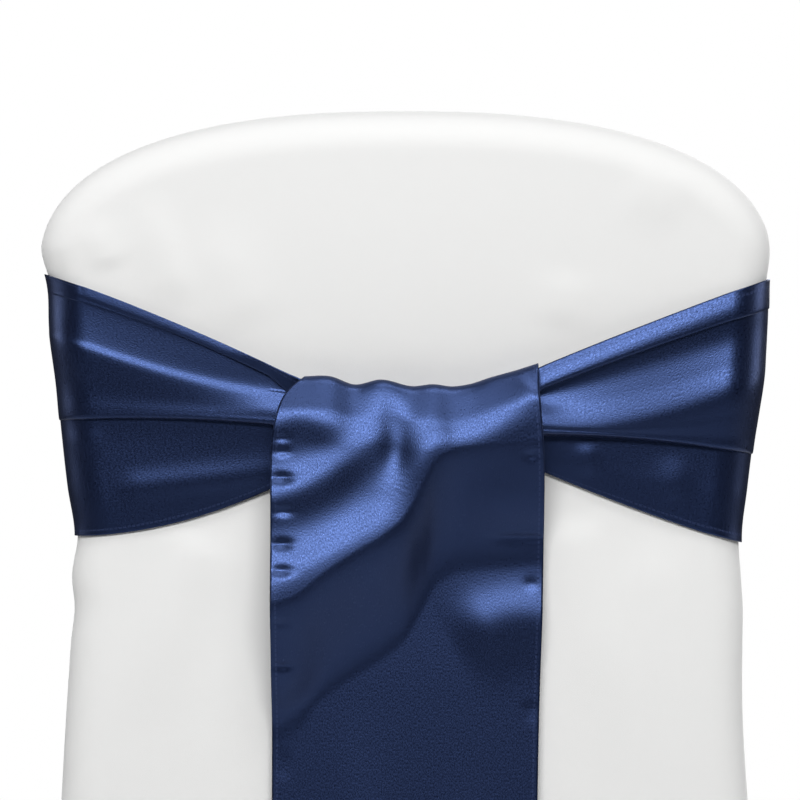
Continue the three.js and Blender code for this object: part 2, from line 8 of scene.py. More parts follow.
import bmesh
import bpy
import numpy as np
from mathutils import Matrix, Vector


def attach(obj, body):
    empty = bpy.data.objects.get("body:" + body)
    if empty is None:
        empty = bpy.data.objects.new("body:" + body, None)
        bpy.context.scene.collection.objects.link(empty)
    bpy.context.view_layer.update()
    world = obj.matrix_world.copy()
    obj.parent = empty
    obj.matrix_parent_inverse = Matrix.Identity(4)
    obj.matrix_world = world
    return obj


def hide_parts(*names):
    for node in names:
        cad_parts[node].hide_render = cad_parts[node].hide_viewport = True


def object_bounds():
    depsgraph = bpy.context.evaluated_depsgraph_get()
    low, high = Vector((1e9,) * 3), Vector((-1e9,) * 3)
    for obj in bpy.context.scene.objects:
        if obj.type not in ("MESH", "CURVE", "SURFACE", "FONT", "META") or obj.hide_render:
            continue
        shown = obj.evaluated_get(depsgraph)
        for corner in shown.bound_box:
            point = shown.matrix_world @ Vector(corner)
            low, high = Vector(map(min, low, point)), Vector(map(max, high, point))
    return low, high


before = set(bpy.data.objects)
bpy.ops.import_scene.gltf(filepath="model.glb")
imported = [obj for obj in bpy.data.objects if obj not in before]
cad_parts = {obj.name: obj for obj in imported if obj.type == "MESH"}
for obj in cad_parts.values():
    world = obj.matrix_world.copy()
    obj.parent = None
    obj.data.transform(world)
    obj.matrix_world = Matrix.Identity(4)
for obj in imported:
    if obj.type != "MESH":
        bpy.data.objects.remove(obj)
solids_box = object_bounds()

# ---- Sizes of the cover, in millimetres ----

CROWN_TOP = 925.0
# The cloth's thickness in the solids, and as it is drawn here
COVER_CLOTH = 1.5
COVER_THICKNESS = 0.8
# The crown's arch stands on the shoulders. A power of 2 would make it half an ellipse, and more is fuller
SHOULDER_HEIGHT = 835.0
SHOULDER_HALF = 207.0
CROWN_POWER = 2.4
# The radius of the rolled edge round the outside back, and round the other panels
BACK_ROLL = 22.0
FRONT_ROLL = 8.0
SEAM_DEPTH = 12.0
CROWN_HALF_THICKNESS = 24.0
# How far the inside of the back comes forward for each unit down from the crown
LEAN = 0.13
BACK_BULGE = 3.0
SEAT_HEIGHT = 462.0
CREASE_RADIUS = 15.0
FRONT_EDGE_RADIUS = 30.0
SEAT_FRONT = 468.0
SEAT_WIDENING = 8.0
HEM_FLARE = 10.0
# Above this height the strands of the back's cloth fan out to the rim
FAN_HEIGHT = 760.0
HEM_WIDTH = 20.0
# How far a seam draws the cloth in, and how far from the seam that reaches
PINCH_DEPTH = 1.1
PINCH_REACH = 2.2
# The skirts' folds: how many waves, and how deep they are at the hem
FRONT_WAVES = (4, 8.0)
SIDE_WAVES = (3, 9.0)
# Strands of cloth that fan out from the middle of the back to its rim, and rows up the front to the seat
RIM_STRANDS = 230
FRONT_ROWS = 60

# How far the cover's two sides lie from its middle, and where its outside back lies, at some heights
SIDE_HEIGHTS = (0, 240, 470, 600, 628, 645, 662, 687, 714, 742, 772, 804, 830, 847, 925)
LEFT_SIDES = (216, 207, 199, 192.5, 190.6, 188.8, 190.4, 187, 190.6, 193.6, 196.2, 199.6, 201.4, 206.5, 207)
RIGHT_SIDES = (216, 207, 199, 191.5, 191.8, 192, 191, 189.5, 192.4, 195.6, 199.2, 202.6, 203.6, 206, 207)
BACK_HEIGHTS = (0, 240, 470, 600, 690, 740, 790, 835, 925)
BACKS = (-28, -16, -3, 2, 3, 0, -7, -13, -24)

# ---- Sizes of the sash, in millimetres ----

SASH_CLOTH = 0.5
TAIL_HALF = 75.9
TAIL_END = 66.0
# How far off the cover its cloth stands: the under tail, the front tail over the gathers, and lower down
UNDER_OFF = 2.2
OVER_OFF = 20.6
HANGING_OFF = 7.5
# How far down the cloth that comes over the gathers turns, and over what height the front tail falls back
OVER_DROP = 20.0
FALL_BACK = 72.0
# How far the under tail's edges lie inside the front tail's, left and right, and the most they reach
UNDER_INSETS = (6, 5)
UNDER_HALF = 70
# The heights where the rows of the under and the front tail start to bend to the line of the top
UNDER_BENDS_FROM = 700
FRONT_BENDS_FROM = 690
# The height above which the front tail is creased, and needs finer rows
CREASED_FROM = 590
# The front tail's bulge: where it starts below the top, its slope, its swell and how soon that comes
BULGE_START = 6
BULGE_SLOPE = 0.13
BULGE_SWELL = 2.4
BULGE_REACH = 30
# The height where the wings' way round the back is measured
WING_HEIGHT = 760.0
# Round the chair's edge the sash is tight: it lies this far off the cover, with this share of its relief
TIGHT_OFF = 1.6
TIGHT_SHARE = 0.2

# The strip's width and its hem's, in metres, as its texture map has them
SASH_WIDTH = 0.152
SASH_HEM = 0.0028


# ---- Working with curves ----


def curve(places, values):
    """A smooth curve through values at places, to be read at any place."""
    at = np.array(places, float)
    value = np.array(values, float)
    slope = np.gradient(value, at)

    def read(x):
        x = np.clip(x, at[0], at[-1])
        i = np.clip(np.searchsorted(at, x, side="right") - 1, 0, len(at) - 2)
        width = at[i + 1] - at[i]
        t = (x - at[i]) / width
        start = (2 * t**3 - 3 * t**2 + 1) * value[i] + (t**3 - 2 * t**2 + t) * slope[i] * width
        end = (3 * t**2 - 2 * t**3) * value[i + 1] + (t**3 - t**2) * slope[i + 1] * width
        return start + end

    return read


def ease(share):
    """0 to 1 as share goes from 0 to 1, starting and ending softly."""
    share = np.clip(share, 0, 1)
    return share * share * (3 - 2 * share)


def blend(a, b, share):
    return a + (b - a) * share


def evened(values, reach):
    """A row of values, each averaged with its neighbours."""
    weights = np.hanning(2 * reach + 1)
    return np.convolve(np.pad(values, reach, mode="edge"), weights / weights.sum(), mode="valid")


def smooth_line(points, steps=24):
    """A bent line through a few points, as many short straights."""
    points = np.array(points, float)
    along = np.concatenate([[0], np.cumsum(np.hypot(*np.diff(points, axis=0).T))])
    at = np.linspace(0, along[-1], steps)
    return np.stack([curve(along, points[:, 0])(at), curve(along, points[:, 1])(at)], axis=1)


def beside(points, x, height):
    """How far each place lies from a bent line, and its share of the way along it. Above the line, or to its
    left, is plus."""
    line = smooth_line(points) if len(points) > 2 else np.array(points, float)
    steps = np.hypot(*np.diff(line, axis=0).T)
    starts = np.concatenate([[0], np.cumsum(steps)])
    nearest = np.full(np.shape(x), np.inf)
    off = np.zeros(np.shape(x))
    share = np.zeros(np.shape(x))
    for start, end, step, before in zip(line[:-1], line[1:], steps, starts):
        way = (end - start) / step
        t = np.clip((x - start[0]) * way[0] + (height - start[1]) * way[1], 0, step)
        dx = x - start[0] - t * way[0]
        dh = height - start[1] - t * way[1]
        far = np.hypot(dx, dh)
        nearer = far < nearest
        nearest = np.where(nearer, far, nearest)
        off = np.where(nearer, far * np.sign(way[0] * dh - way[1] * dx), off)
        share = np.where(nearer, (before + t) / starts[-1], share)
    return off, share


def rise_of(folds, x, height):
    """How far folded cloth rises at each place. Each fold follows a line, with a width to each side of it."""
    rise = np.zeros(np.shape(x))
    for line, high, left, right, fade_in, fade_out in folds:
        off, share = beside(line, x, height)
        wide = np.where(off > 0, left, right)
        ends = ease(share / fade_in) * ease((1 - share) / fade_out)
        rise += high * ends * np.exp(-((off / wide) ** 2))
    return rise


# ---- Folds ----
# Each row: a line of (x, height) points, the rise, the widths to the line's left and right, and the shares of
# the line over which the fold comes and goes

BACK_FOLDS = (
    (((-164, 834), (-178, 866)), 1.6, 10, 12, 0.3, 0.5),
    (((-124, 812), (-134, 846), (-146, 884)), 1.8, 14, 9, 0.3, 0.5),
    (((-84, 800), (-98, 838), (-108, 868)), 1.6, 17, 17, 0.3, 0.5),
    (((118, 885), (160, 868)), 1.4, 15, 15, 0.4, 0.4),
    (((92, 838), (84, 800)), 1.2, 14, 16, 0.4, 0.4),
    (((-118, 690), (-134, 640), (-150, 570)), 2.6, 17, 12, 0.1, 0.6),
    (((-100, 700), (-104, 500), (-108, 330)), 2.4, 26, 26, 0.1, 0.6),
    (((96, 700), (112, 620), (124, 540)), 2.8, 14, 20, 0.1, 0.6),
    (((140, 690), (153, 520), (160, 380)), 2.4, 18, 18, 0.1, 0.6),
    (((-150, 420), (-158, -60)), 9.0, 26, 26, 0.9, 0.01),
    (((-52, 480), (-58, -60)), 8.0, 30, 30, 0.95, 0.01),
    (((48, 470), (56, -60)), 9.0, 28, 28, 0.95, 0.01),
    (((146, 440), (152, -60)), 8.0, 26, 26, 0.9, 0.01),
)

# ---- The shape of the cover ----

left_half_at = curve(SIDE_HEIGHTS, LEFT_SIDES)
right_half_at = curve(SIDE_HEIGHTS, RIGHT_SIDES)
back_at = curve(BACK_HEIGHTS, BACKS)
CREASE_TOP = SEAT_HEIGHT + CREASE_RADIUS
SIDE_TOP = SEAT_HEIGHT - FRONT_EDGE_RADIUS


def inside_at(height):
    return CROWN_HALF_THICKNESS + LEAN * (CROWN_TOP - height)


REAR_SEAM = inside_at(CREASE_TOP) - SEAM_DEPTH


def half_at(side, height):
    """Half the cover's width, on the side of x that is given by its sign."""
    return np.where(np.asarray(side) < 0, left_half_at(height), right_half_at(height))


def back_face_at(x, height):
    """The surface of the outside back, with its folds."""
    bulge = BACK_BULGE * (1 - np.minimum(1, np.abs(x) / half_at(x, height)) ** 2)
    return back_at(height) - bulge - rise_of(BACK_FOLDS, x, height)


def side_at(side, y, height):
    """Half the cover's width beside the seat, which widens towards the front."""
    share = np.clip((y - REAR_SEAM) / (SEAT_FRONT - REAR_SEAM), 0, 1)
    return half_at(side, height) + SEAT_WIDENING * share


def rim_of_back(low, rows, strands):
    """The rim of the back from the left side over the crown to the right: where each strand of cloth starts,
    the way out of the rim there, and the place in the middle that the strand runs to."""
    lift = np.linspace(FAN_HEIGHT, SHOULDER_HEIGHT, 40)[:-1]
    turn = np.radians(np.linspace(0, 180, 240))
    across = -np.sign(np.cos(turn)) * np.abs(np.cos(turn)) ** (2 / CROWN_POWER)
    up = SHOULDER_HEIGHT + (CROWN_TOP - SHOULDER_HEIGHT) * np.sin(turn) ** (2 / CROWN_POWER)
    crown = across * np.minimum(SHOULDER_HALF, half_at(across, np.minimum(up, SIDE_HEIGHTS[-1])))
    x = np.concatenate([-half_at(-1, lift), crown, half_at(1, lift)[::-1]])
    height = np.concatenate([lift, up, lift[::-1]])
    along = np.concatenate([[0], np.cumsum(np.hypot(np.diff(x), np.diff(height)))])
    at = np.linspace(0, along[-1], strands)
    fan_x, fan_height = np.interp(at, along, x), np.interp(at, along, height)
    way_x, way_height = evened(np.gradient(fan_x), 9), evened(np.gradient(fan_height), 9)
    long = np.hypot(way_x, way_height)

    side = np.linspace(low, FAN_HEIGHT, rows)[:-1]
    ones, none = np.ones(len(side)), np.zeros(len(side))
    return {
        "x": np.concatenate([-half_at(-1, side), fan_x, half_at(1, side)[::-1]]),
        "height": np.concatenate([side, fan_height, side[::-1]]),
        "out_x": np.concatenate([-ones, -way_height / long, ones]),
        "out_height": np.concatenate([none, way_x / long, none]),
        "middle": np.concatenate([side, np.full(strands, FAN_HEIGHT), side[::-1]]),
    }


def across_face(start_x, start_height, middle, steps):
    """Places from the start of each strand to the middle, as two grids."""
    share = np.linspace(0, 1, steps)[1:]
    x = start_x[:, None] * (1 - share)
    height = blend(start_height[:, None], middle[:, None], share)
    return x, height


def rolled_edge(rim, radius, steps):
    """Places round a rolled edge, from the side to the face, and how deep each lies behind the face."""
    turn = np.radians(np.linspace(90, 0, steps))
    inward = radius * (1 - np.sin(turn))
    x = rim["x"][:, None] - inward * rim["out_x"][:, None]
    height = rim["height"][:, None] - inward * rim["out_height"][:, None]
    return x, height, radius * (1 - np.cos(turn)) * np.ones_like(x)


def seam_pinch(far):
    """How far the cloth dips beside a seam."""
    return PINCH_DEPTH * np.exp(-((far / PINCH_REACH) ** 2))


def grid_of(x, y, height):
    return np.stack(np.broadcast_arrays(x, y, height), axis=-1)


def back_panel_grid():
    rim = rim_of_back(0.0, 150, RIM_STRANDS)
    x, height = rim["x"], rim["height"]
    seam = np.where(height > CREASE_TOP, inside_at(height) - SEAM_DEPTH, REAR_SEAM)
    edge = back_face_at(x, height) + BACK_ROLL
    share = np.linspace(0, 1, 12)[:-1] ** 1.5
    side_y = blend(seam[:, None], edge[:, None], share)
    pinch = seam_pinch(seam[:, None] - side_y)
    side = grid_of(
        x[:, None] - pinch * rim["out_x"][:, None],
        side_y,
        height[:, None] - pinch * rim["out_height"][:, None],
    )
    roll_x, roll_height, deep = rolled_edge(rim, BACK_ROLL, 12)
    roll = grid_of(roll_x, back_face_at(roll_x, roll_height) + deep, roll_height)
    face_x, face_height = across_face(roll_x[:, -1], roll_height[:, -1], rim["middle"], 64)
    face = grid_of(face_x, back_face_at(face_x, face_height), face_height)
    return np.concatenate([side, roll, face], axis=1)


def inside_panel_grid():
    rim = rim_of_back(CREASE_TOP, 70, RIM_STRANDS)
    x, height = rim["x"], rim["height"]
    far = np.linspace(0, 1, 4)[:-1] * (SEAM_DEPTH - FRONT_ROLL)
    pinch = seam_pinch(far)
    seam = grid_of(
        x[:, None] - pinch * rim["out_x"][:, None],
        inside_at(height)[:, None] - SEAM_DEPTH + far,
        height[:, None] - pinch * rim["out_height"][:, None],
    )
    roll_x, roll_height, deep = rolled_edge(rim, FRONT_ROLL, 8)
    roll = grid_of(roll_x, inside_at(roll_height) - deep, roll_height)
    face_x, face_height = across_face(roll_x[:, -1], roll_height[:, -1], rim["middle"], 30)
    face = grid_of(face_x, inside_at(face_height), face_height)
    return np.concatenate([seam, roll, face], axis=1)


def seat_path(corner):
    """Up the front, over the front edge, along the seat and up the crease: y, height and the way out, as an
    angle. The crease ends at the angle of its corner, in degrees."""
    drop = np.linspace(0, 1, FRONT_ROWS)[:-1]
    turn = np.radians(np.linspace(0, 90, 12))
    rear = inside_at(CREASE_TOP) + CREASE_RADIUS
    share = np.linspace(0, 1, 44)[1:-1]
    crease = np.radians(np.linspace(90, corner, 10))
    y = np.concatenate([
        SEAT_FRONT + HEM_FLARE * (1 - drop),
        SEAT_FRONT - FRONT_EDGE_RADIUS * (1 - np.cos(turn)),
        blend(SEAT_FRONT - FRONT_EDGE_RADIUS, rear, share),
        rear - CREASE_RADIUS * np.cos(crease),
    ])
    height = np.concatenate([
        drop * SIDE_TOP,
        SIDE_TOP + FRONT_EDGE_RADIUS * np.sin(turn),
        np.full(len(share), SEAT_HEIGHT),
        CREASE_TOP - CREASE_RADIUS * np.sin(crease),
    ])
    out = np.concatenate([np.zeros(len(drop)), turn, np.full(len(share), math.pi / 2), crease])
    return y, height, out


def wave_at(waves, share, height):
    """Folds of a skirt: nothing at the seat and at both seams, most at the hem."""
    count, depth = waves
    growth = np.clip(1 - height / SIDE_TOP, 0, 1) ** 1.3
    return depth * growth * np.sin(math.pi * share) * np.sin(math.pi * share * (2 * count - 1))


def seat_half(side):
    y, height, out = (part[:, None] for part in seat_path(0.0))
    half = side_at(side, y, height)
    turn = np.radians(np.linspace(90, 0, 8))
    far = np.linspace(0, 1, 4)[:-1] * (SEAM_DEPTH - FRONT_ROLL)
    face = np.linspace(0, 1, 30)[1:]
    x = np.concatenate([
        half - seam_pinch(far),
        half - FRONT_ROLL * (1 - np.sin(turn)),
        (half - FRONT_ROLL) * (1 - face),
    ], axis=1)
    deep = np.concatenate([SEAM_DEPTH - far, FRONT_ROLL * (1 - np.cos(turn)), 0 * face])
    wave = np.where(deep > 0, 0, wave_at(FRONT_WAVES, 0.5 + side * x / (2 * half), height))
    return grid_of(side * x, y - (deep - wave) * np.cos(out), height - deep * np.sin(out))


def seat_panel_grid():
    left, right = seat_half(-1), seat_half(1)
    return np.concatenate([left, right[:, -2::-1]], axis=1)


def skirt_grid(side):
    seam_y, seam_height, out = seat_path(8.0)
    top_y = (seam_y - SEAM_DEPTH * np.cos(out))[FRONT_ROWS - 1:][::-1]
    top_height = (seam_height - SEAM_DEPTH * np.sin(out))[FRONT_ROWS - 1:][::-1]
    front = SEAT_FRONT - SEAM_DEPTH
    share = np.clip((top_y - REAR_SEAM) / (front - REAR_SEAM), 0, 1)[:, None]
    step = np.linspace(0, 1, 80)[None, :]
    height = step * top_height[:, None]
    y = blend(blend(REAR_SEAM, front, share), np.maximum(top_y[:, None], REAR_SEAM), step)
    y = y + share * HEM_FLARE * (1 - step)
    far = np.minimum(np.minimum(y - REAR_SEAM, front + HEM_FLARE - y), top_height[:, None] - height)
    x = side_at(side, y, height) + wave_at(SIDE_WAVES, share, height) - seam_pinch(np.maximum(far, 0))
    return grid_of(side * x, y, height)


# ---- The shape of the sash ----
# The band's lines, one above another from its lower hem to its top, with how far they stand off the cover.
# Where both wings meet behind the tail: height, off.

KNOT_LINES = (
    (739, 5), (748, 5), (757, 5), (761, 5), (765, 5), (765, 8), (740, 8.2), (740, 11.2), (746, 12.2),
    (750, 12.2), (755, 12), (758, 11), (761, 11), (764, 11), (764, 13), (742, 13.2), (742, 15.2), (750, 15.4),
    (763, 15),
)
# On each wing: height at the tail's edge, height at the chair's side, bow between them, off at the tail's
# edge, off at the side
LEFT_LINES = (
    (714, 686, -6, 3.4, 1.4),
    (729, 702, -4, 5.0, 2.8),
    (741, 724, -2, 5.4, 3.0),
    (750, 740, 0, 5.8, 2.6),
    (768, 759, 0, 6.2, 2.8),
    (768, 759, 0, 7.6, 3.4),
    (750.5, 752.5, 2, 8.2, 3.9),
    (750.5, 752.5, 2, 11.6, 5.6),
    (753.5, 758, 1, 11.5, 5.8),
    (758, 773, -2, 10.9, 5.1),
    (764, 797, -4, 9.0, 6.4),
    (769, 804, -3, 7.3, 4.9),
    (774, 815, 0, 6.6, 3.2),
    (780, 823, 1.5, 6.2, 2.4),
    (780, 824.5, 1.5, 7.4, 2.5),
    (777, 827, 2, 7.8, 2.4),
    (777, 829, 2, 9.0, 2.3),
    (780, 831, 2, 9.0, 2.1),
    (783, 834, 2, 8.4, 1.8),
)
RIGHT_LINES = (
    (724, 682, -2, 3.4, 1.8),
    (731, 703, -1, 5.0, 2.8),
    (738, 716, -1, 5.6, 2.8),
    (745, 728, 1, 5.8, 2.8),
    (764, 741, 2.5, 6.2, 3.0),
    (764, 741, 2.5, 8.2, 3.6),
    (744.5, 733.5, 2.5, 9.0, 4.2),
    (744.5, 733.5, 2.5, 17.2, 6.6),
    (747, 741, 0, 17.6, 7.2),
    (750, 756, -5, 17.4, 9.0),
    (755, 776, -10, 15.6, 10.4),
    (761, 791, -4, 12.2, 5.9),
    (767, 804, 0, 10.4, 2.6),
    (775, 817, 1, 11.6, 2.2),
    (775, 818, 1, 12.6, 2.8),
    (770, 815.5, 1, 13.6, 3.8),
    (770, 815.5, 1, 17.2, 4.8),
    (775, 822, 1, 16.2, 4.4),
    (782.5, 831.5, 1, 13.2, 2.0),
)
# Rows of cloth between each of the lines and the next
LINE_STEPS = (10, 10, 8, 9, 4, 8, 4, 4, 6, 10, 8, 6, 6, 4, 5, 4, 4, 6)
# The plain band on the inside of the chair's back: its lower and upper edge, and off
PLAIN_BAND = (685, 833, 1.4)

# At some x: the top of the cloth that comes over the gathers
TAIL_TOPS = (
    (-57, -42, -29, -14, 4, 15, 26, 35, 47, 62, 74),
    (776, 776, 771.5, 774.2, 770.5, 771.6, 770.4, 771.6, 775.4, 779.6, 783.5),
)
# At some x: the height where the front tail, which bulges out over the gathers, starts to fall back
TAIL_CRESTS = (
    (-80, -60, -45, -27, -11, 0, 8, 15, 25, 40, 57, 76),
    (650, 656, 668, 680, 690, 700, 714, 727, 735, 738, 739, 742),
)
# The tail's edges at some heights
TAIL_EDGE_HEIGHTS = (66, 604, 650, 700, 740, 754, 760, 768, 772, 777)
TAIL_LEFTS = (-76, -75, -75, -75, -74.4, -72.4, -70.8, -66.8, -63, -56.5)
TAIL_RIGHTS = (76, 75, 76.5, 77, 76, 74.6, 74, 73.6, 73.5, 73.5)

WING_FOLDS = (
    (((-44, 774), (-62, 780), (-78, 786), (-90, 791), (-104, 797)), 2.4, 4.5, 4.5, 0.2, 0.6),
    (((-181, 845), (-184, 798)), 1.4, 3, 12, 0.1, 0.5),
    (((-168, 712), (-120, 717.5), (-70, 722)), 1.2, 8, 7, 0.2, 0.02),
    (((-206, 739), (-186, 740), (-164, 741)), 1.2, 6, 8, 0.2, 0.5),
    (((100, 741), (103, 718)), 1.0, 7, 7, 0.4, 0.5),
    (((150, 736), (152, 700)), 1.2, 9, 12, 0.5, 0.5),
)

TAIL_FOLDS = (
    (((-84, 748), (-59, 754), (-39, 750), (-14, 752)), 2.3, 12, 11, 0.12, 0.5),
    (((-6, 756), (-16, 744), (-25, 736), (-36, 727), (-53, 716), (-84, 706)), 2.7, 11, 12, 0.45, 0.05),
    (((11, 733), (8, 720), (1, 706), (-12, 693), (-42, 675), (-90, 652)), 2.8, 18, 14, 0.45, 0.03),
    (((10, 780), (11, 752), (9, 730), (5, 712), (-4, 696)), 4.0, 13, 12, 0.7, 0.5),
    (((4, 739), (14, 737), (28, 739), (45, 744), (56, 752), (76, 772)), 2.2, 14, 14, 0.25, 0.1),
    (((-12, 786), (-9, 762), (-6, 740), (-10, 712)), -2.2, 8, 8, 0.75, 0.35),
    (((28, 702), (50, 703), (84, 701)), 2.4, 16, 12, 0.4, 0.02),
    (((40, 686), (62, 686.5), (84, 686)), -1.2, 1.8, 3.6, 0.5, 0.02),
    (((24, 626), (46, 636), (60, 640), (84, 639)), 3.6, 18, 20, 0.4, 0.02),
    (((-84, 602), (-66, 603), (-50, 596)), 5.5, 18, 16, 0.05, 0.6),
    (((-30, 600), (-20, 420), (-34, 200), (-30, 60)), 2.2, 16, 12, 0.3, 0.01),
    (((40, 560), (30, 400), (44, 220), (36, 60)), 2.4, 14, 18, 0.3, 0.01),
)
# Small dents where the hem's stitching draws the satin in: x, height, depth, half width and half height
PUCKERS = (
    (-69, 742, 1.0, 4.4, 2.4),
    (-69, 734.5, 0.9, 4.4, 2.4),
    (-68.5, 720, 1.4, 5.9, 2.6),
    (-68.5, 701.5, 1.4, 5.5, 2.6),
    (-68.5, 683.5, 1.4, 5.5, 2.6),
    (-68.5, 669, 1.2, 5.5, 2.6),
    (-69, 640, 0.8, 4.4, 2.4),
    (-68.5, 615.5, 1.4, 5.5, 2.6),
    (69.5, 732.5, 1.0, 3.7, 2.6),
    (70, 660, 0.6, 3.3, 3.0),
    (70, 590, 0.8, 3.7, 3.0),
    (-69, 560, 0.8, 4.0, 2.6),
    (-69, 520, 0.8, 4.0, 2.6),
    (69, 505, 0.8, 4.0, 2.6),
)

tail_top_at = curve(*TAIL_TOPS)
tail_crest_at = curve(*TAIL_CRESTS)


def dents(x, height):
    """How deep the hem's puckers are at each place."""
    depth = np.zeros(np.shape(x))
    for at_x, at_height, deep, half_width, half_height in PUCKERS:
        depth += deep * np.exp(-(((x - at_x) / half_width) ** 2) - ((height - at_height) / half_height) ** 2)
    return depth


def around_back(side, place, height, off):
    """A place on the outside of the cover's back. Its way round is 0 in the middle behind, 1 to 2 on the
    rounded edge, 2 to 3 on the side, 3 to 4 on the front edge and 5 in the middle of the inside."""
    half, inside = half_at(side, height), inside_at(height)
    corner = half - BACK_ROLL
    behind = back_face_at(side * corner, height)
    face_x = side * np.minimum(place, 1) * corner
    face_y = back_face_at(face_x, height) - off
    turn = np.radians(90 * np.clip(place - 1, 0, 1))
    roll_x = side * (corner + (BACK_ROLL + off) * np.sin(turn))
    roll_y = behind + BACK_ROLL - (BACK_ROLL + off) * np.cos(turn)
    side_y = blend(behind + BACK_ROLL, inside - FRONT_ROLL, np.clip(place - 2, 0, 1))
    turn = np.radians(90 * np.clip(place - 3, 0, 1))
    edge_x = side * (half - FRONT_ROLL + (FRONT_ROLL + off) * np.cos(turn))
    edge_y = side_y + (FRONT_ROLL + off) * np.sin(turn)
    inner_x = side * (half - FRONT_ROLL) * (5 - np.maximum(place, 4))
    stretches = [place <= 1, place <= 2, place <= 3, place <= 4]
    x = np.select(stretches, [face_x, roll_x, side * (half + off), edge_x], inner_x)
    y = np.select(stretches, [face_y, roll_y, side_y, edge_y], inside + off)
    return grid_of(x, y, height)


def between_lines(rows, at):
    """Values of the wing's lines (last axis) read smoothly between them."""
    low = np.clip(np.floor(at).astype(int), 0, rows.shape[-1] - 2)
    t = at - low
    before, after = np.maximum(low - 1, 0), np.minimum(low + 2, rows.shape[-1] - 1)
    a, b, c, d = rows[:, before], rows[:, low], rows[:, low + 1], rows[:, after]
    return 0.5 * (2 * b + (c - a) * t + (2 * a - 5 * b + 4 * c - d) * t**2 + (3 * b - 3 * c + d - a) * t**3)


def wing_grid(wing, side, places, lines):
    """One wing of the sash, from behind the tail to the middle of the inside."""
    place = places[:, None]
    knot, knot_off = np.array(KNOT_LINES, float).T
    tail, edge, bow, tail_off, edge_off = np.array(wing, float).T
    half = half_at(side, WING_HEIGHT)
    turn = np.radians(90 * np.clip(place - 1, 0, 1))
    reach = np.minimum(place, 1) * (half - BACK_ROLL) + BACK_ROLL * np.sin(turn)
    hidden = reach < TAIL_HALF
    near = np.clip(reach / TAIL_HALF, 0, 1)
    out = np.clip((reach - TAIL_HALF) / (half - TAIL_HALF), 0, 1)
    flat = np.clip((place - 4) / 0.6, 0, 1)
    bottom, top, plain_off = PLAIN_BAND
    bowed = blend(tail, edge, out) + 4 * bow * out * (1 - out)
    height = np.where(hidden, blend(knot, tail, near**2), bowed)
    off = np.where(hidden, blend(knot_off, tail_off, near), blend(tail_off, edge_off, out))
    height = blend(height, np.linspace(bottom, top, len(wing)), flat)
    off = blend(off, plain_off, np.clip(3 * flat - 2, 0, 1))
    height, off = between_lines(height, lines), between_lines(off, lines)
    behind = np.clip(2 - place, 0, 1)
    x = around_back(side, place, height, off)[..., 0]
    off = off + behind * rise_of(WING_FOLDS, x, height)
    off = blend(off, TIGHT_OFF + TIGHT_SHARE * (off - TIGHT_OFF), ease(place - 1) * (1 - flat))
    return around_back(side, place, height, off)


def sash_band_grid():
    """The left wing from behind the tail to the middle of the inside, and from there the right wing back."""
    places = np.concatenate([
        np.linspace(0, 0.42, 12)[:-1],
        np.linspace(0.42, 1, 90)[:-1],
        np.linspace(1, 2, 30)[:-1],
        np.linspace(2, 4, 28)[:-1],
        np.linspace(4, 5, 28),
    ])
    stretches = [np.linspace(at, at + 1, steps + 1)[:-1] for at, steps in enumerate(LINE_STEPS)]
    lines = np.concatenate(stretches + [[len(LINE_STEPS)]])
    left = wing_grid(LEFT_LINES, -1, places, lines)
    right = wing_grid(RIGHT_LINES, 1, places, lines)
    return np.concatenate([left, right[-2::-1]], axis=0)


def slack_at(x, height):
    """How far the front tail bulges out as it comes down over the gathers."""
    top = tail_top_at(x) - BULGE_START
    down = np.clip(top - height, 0, top - tail_crest_at(x))
    return BULGE_SLOPE * down + BULGE_SWELL * ease(down / BULGE_REACH)


def tail_grid():
    """The under tail, up behind the gathers and over them, and the front tail down to its end."""
    left_at = curve(TAIL_EDGE_HEIGHTS, TAIL_LEFTS)
    right_at = curve(TAIL_EDGE_HEIGHTS, TAIL_RIGHTS)
    across = np.linspace(0, 1, 116)[None, :]
    peak = TAIL_EDGE_HEIGHTS[-1]
    radius = (OVER_OFF - UNDER_OFF) / 2

    start = peak - radius
    under = np.linspace(TAIL_END, start, 80)[:, None]
    left = np.maximum(left_at(under) + UNDER_INSETS[0], -UNDER_HALF)
    x = blend(left, np.minimum(right_at(under) - UNDER_INSETS[1], UNDER_HALF), across)
    bend = np.clip((under - UNDER_BENDS_FROM) / (start - UNDER_BENDS_FROM), 0, 1) ** 2
    height = under + (tail_top_at(x) - peak) * bend
    under_part = grid_of(x, back_face_at(x, height) - UNDER_OFF, height)

    turn = np.radians(np.linspace(0, 180, 34))[1:-1, None]
    fall = np.where(turn < math.pi / 2, radius, OVER_DROP) * (1 - np.sin(turn))
    edge = np.where(turn < math.pi / 2, peak, peak - fall)
    x = blend(left_at(edge), right_at(edge), across)
    height = tail_top_at(x) - fall
    rise = ease(2 * turn / math.pi - 1) * (rise_of(TAIL_FOLDS, x, height) + slack_at(x, height))
    over_part = grid_of(x, back_face_at(x, height) - UNDER_OFF - radius * (1 - np.cos(turn)) - rise, height)

    start = peak - OVER_DROP
    creased = np.linspace(start, CREASED_FROM, 165)[:-1]
    front = np.concatenate([creased, np.linspace(CREASED_FROM, TAIL_END, 85)])[:, None]
    x = blend(left_at(front), right_at(front), across)
    bend = np.clip((front - FRONT_BENDS_FROM) / (start - FRONT_BENDS_FROM), 0, 1) ** 2
    height = front + (tail_top_at(x) - peak) * bend
    down = ease((height - tail_crest_at(x) + FALL_BACK) / FALL_BACK)
    off = blend(HANGING_OFF, OVER_OFF + slack_at(x, height), down)
    off = off + rise_of(TAIL_FOLDS, x, height) - dents(x, height)
    front_part = grid_of(x, back_face_at(x, height) - off, height)
    return np.concatenate([under_part, over_part, front_part], axis=0)


# ---- Making the pieces ----

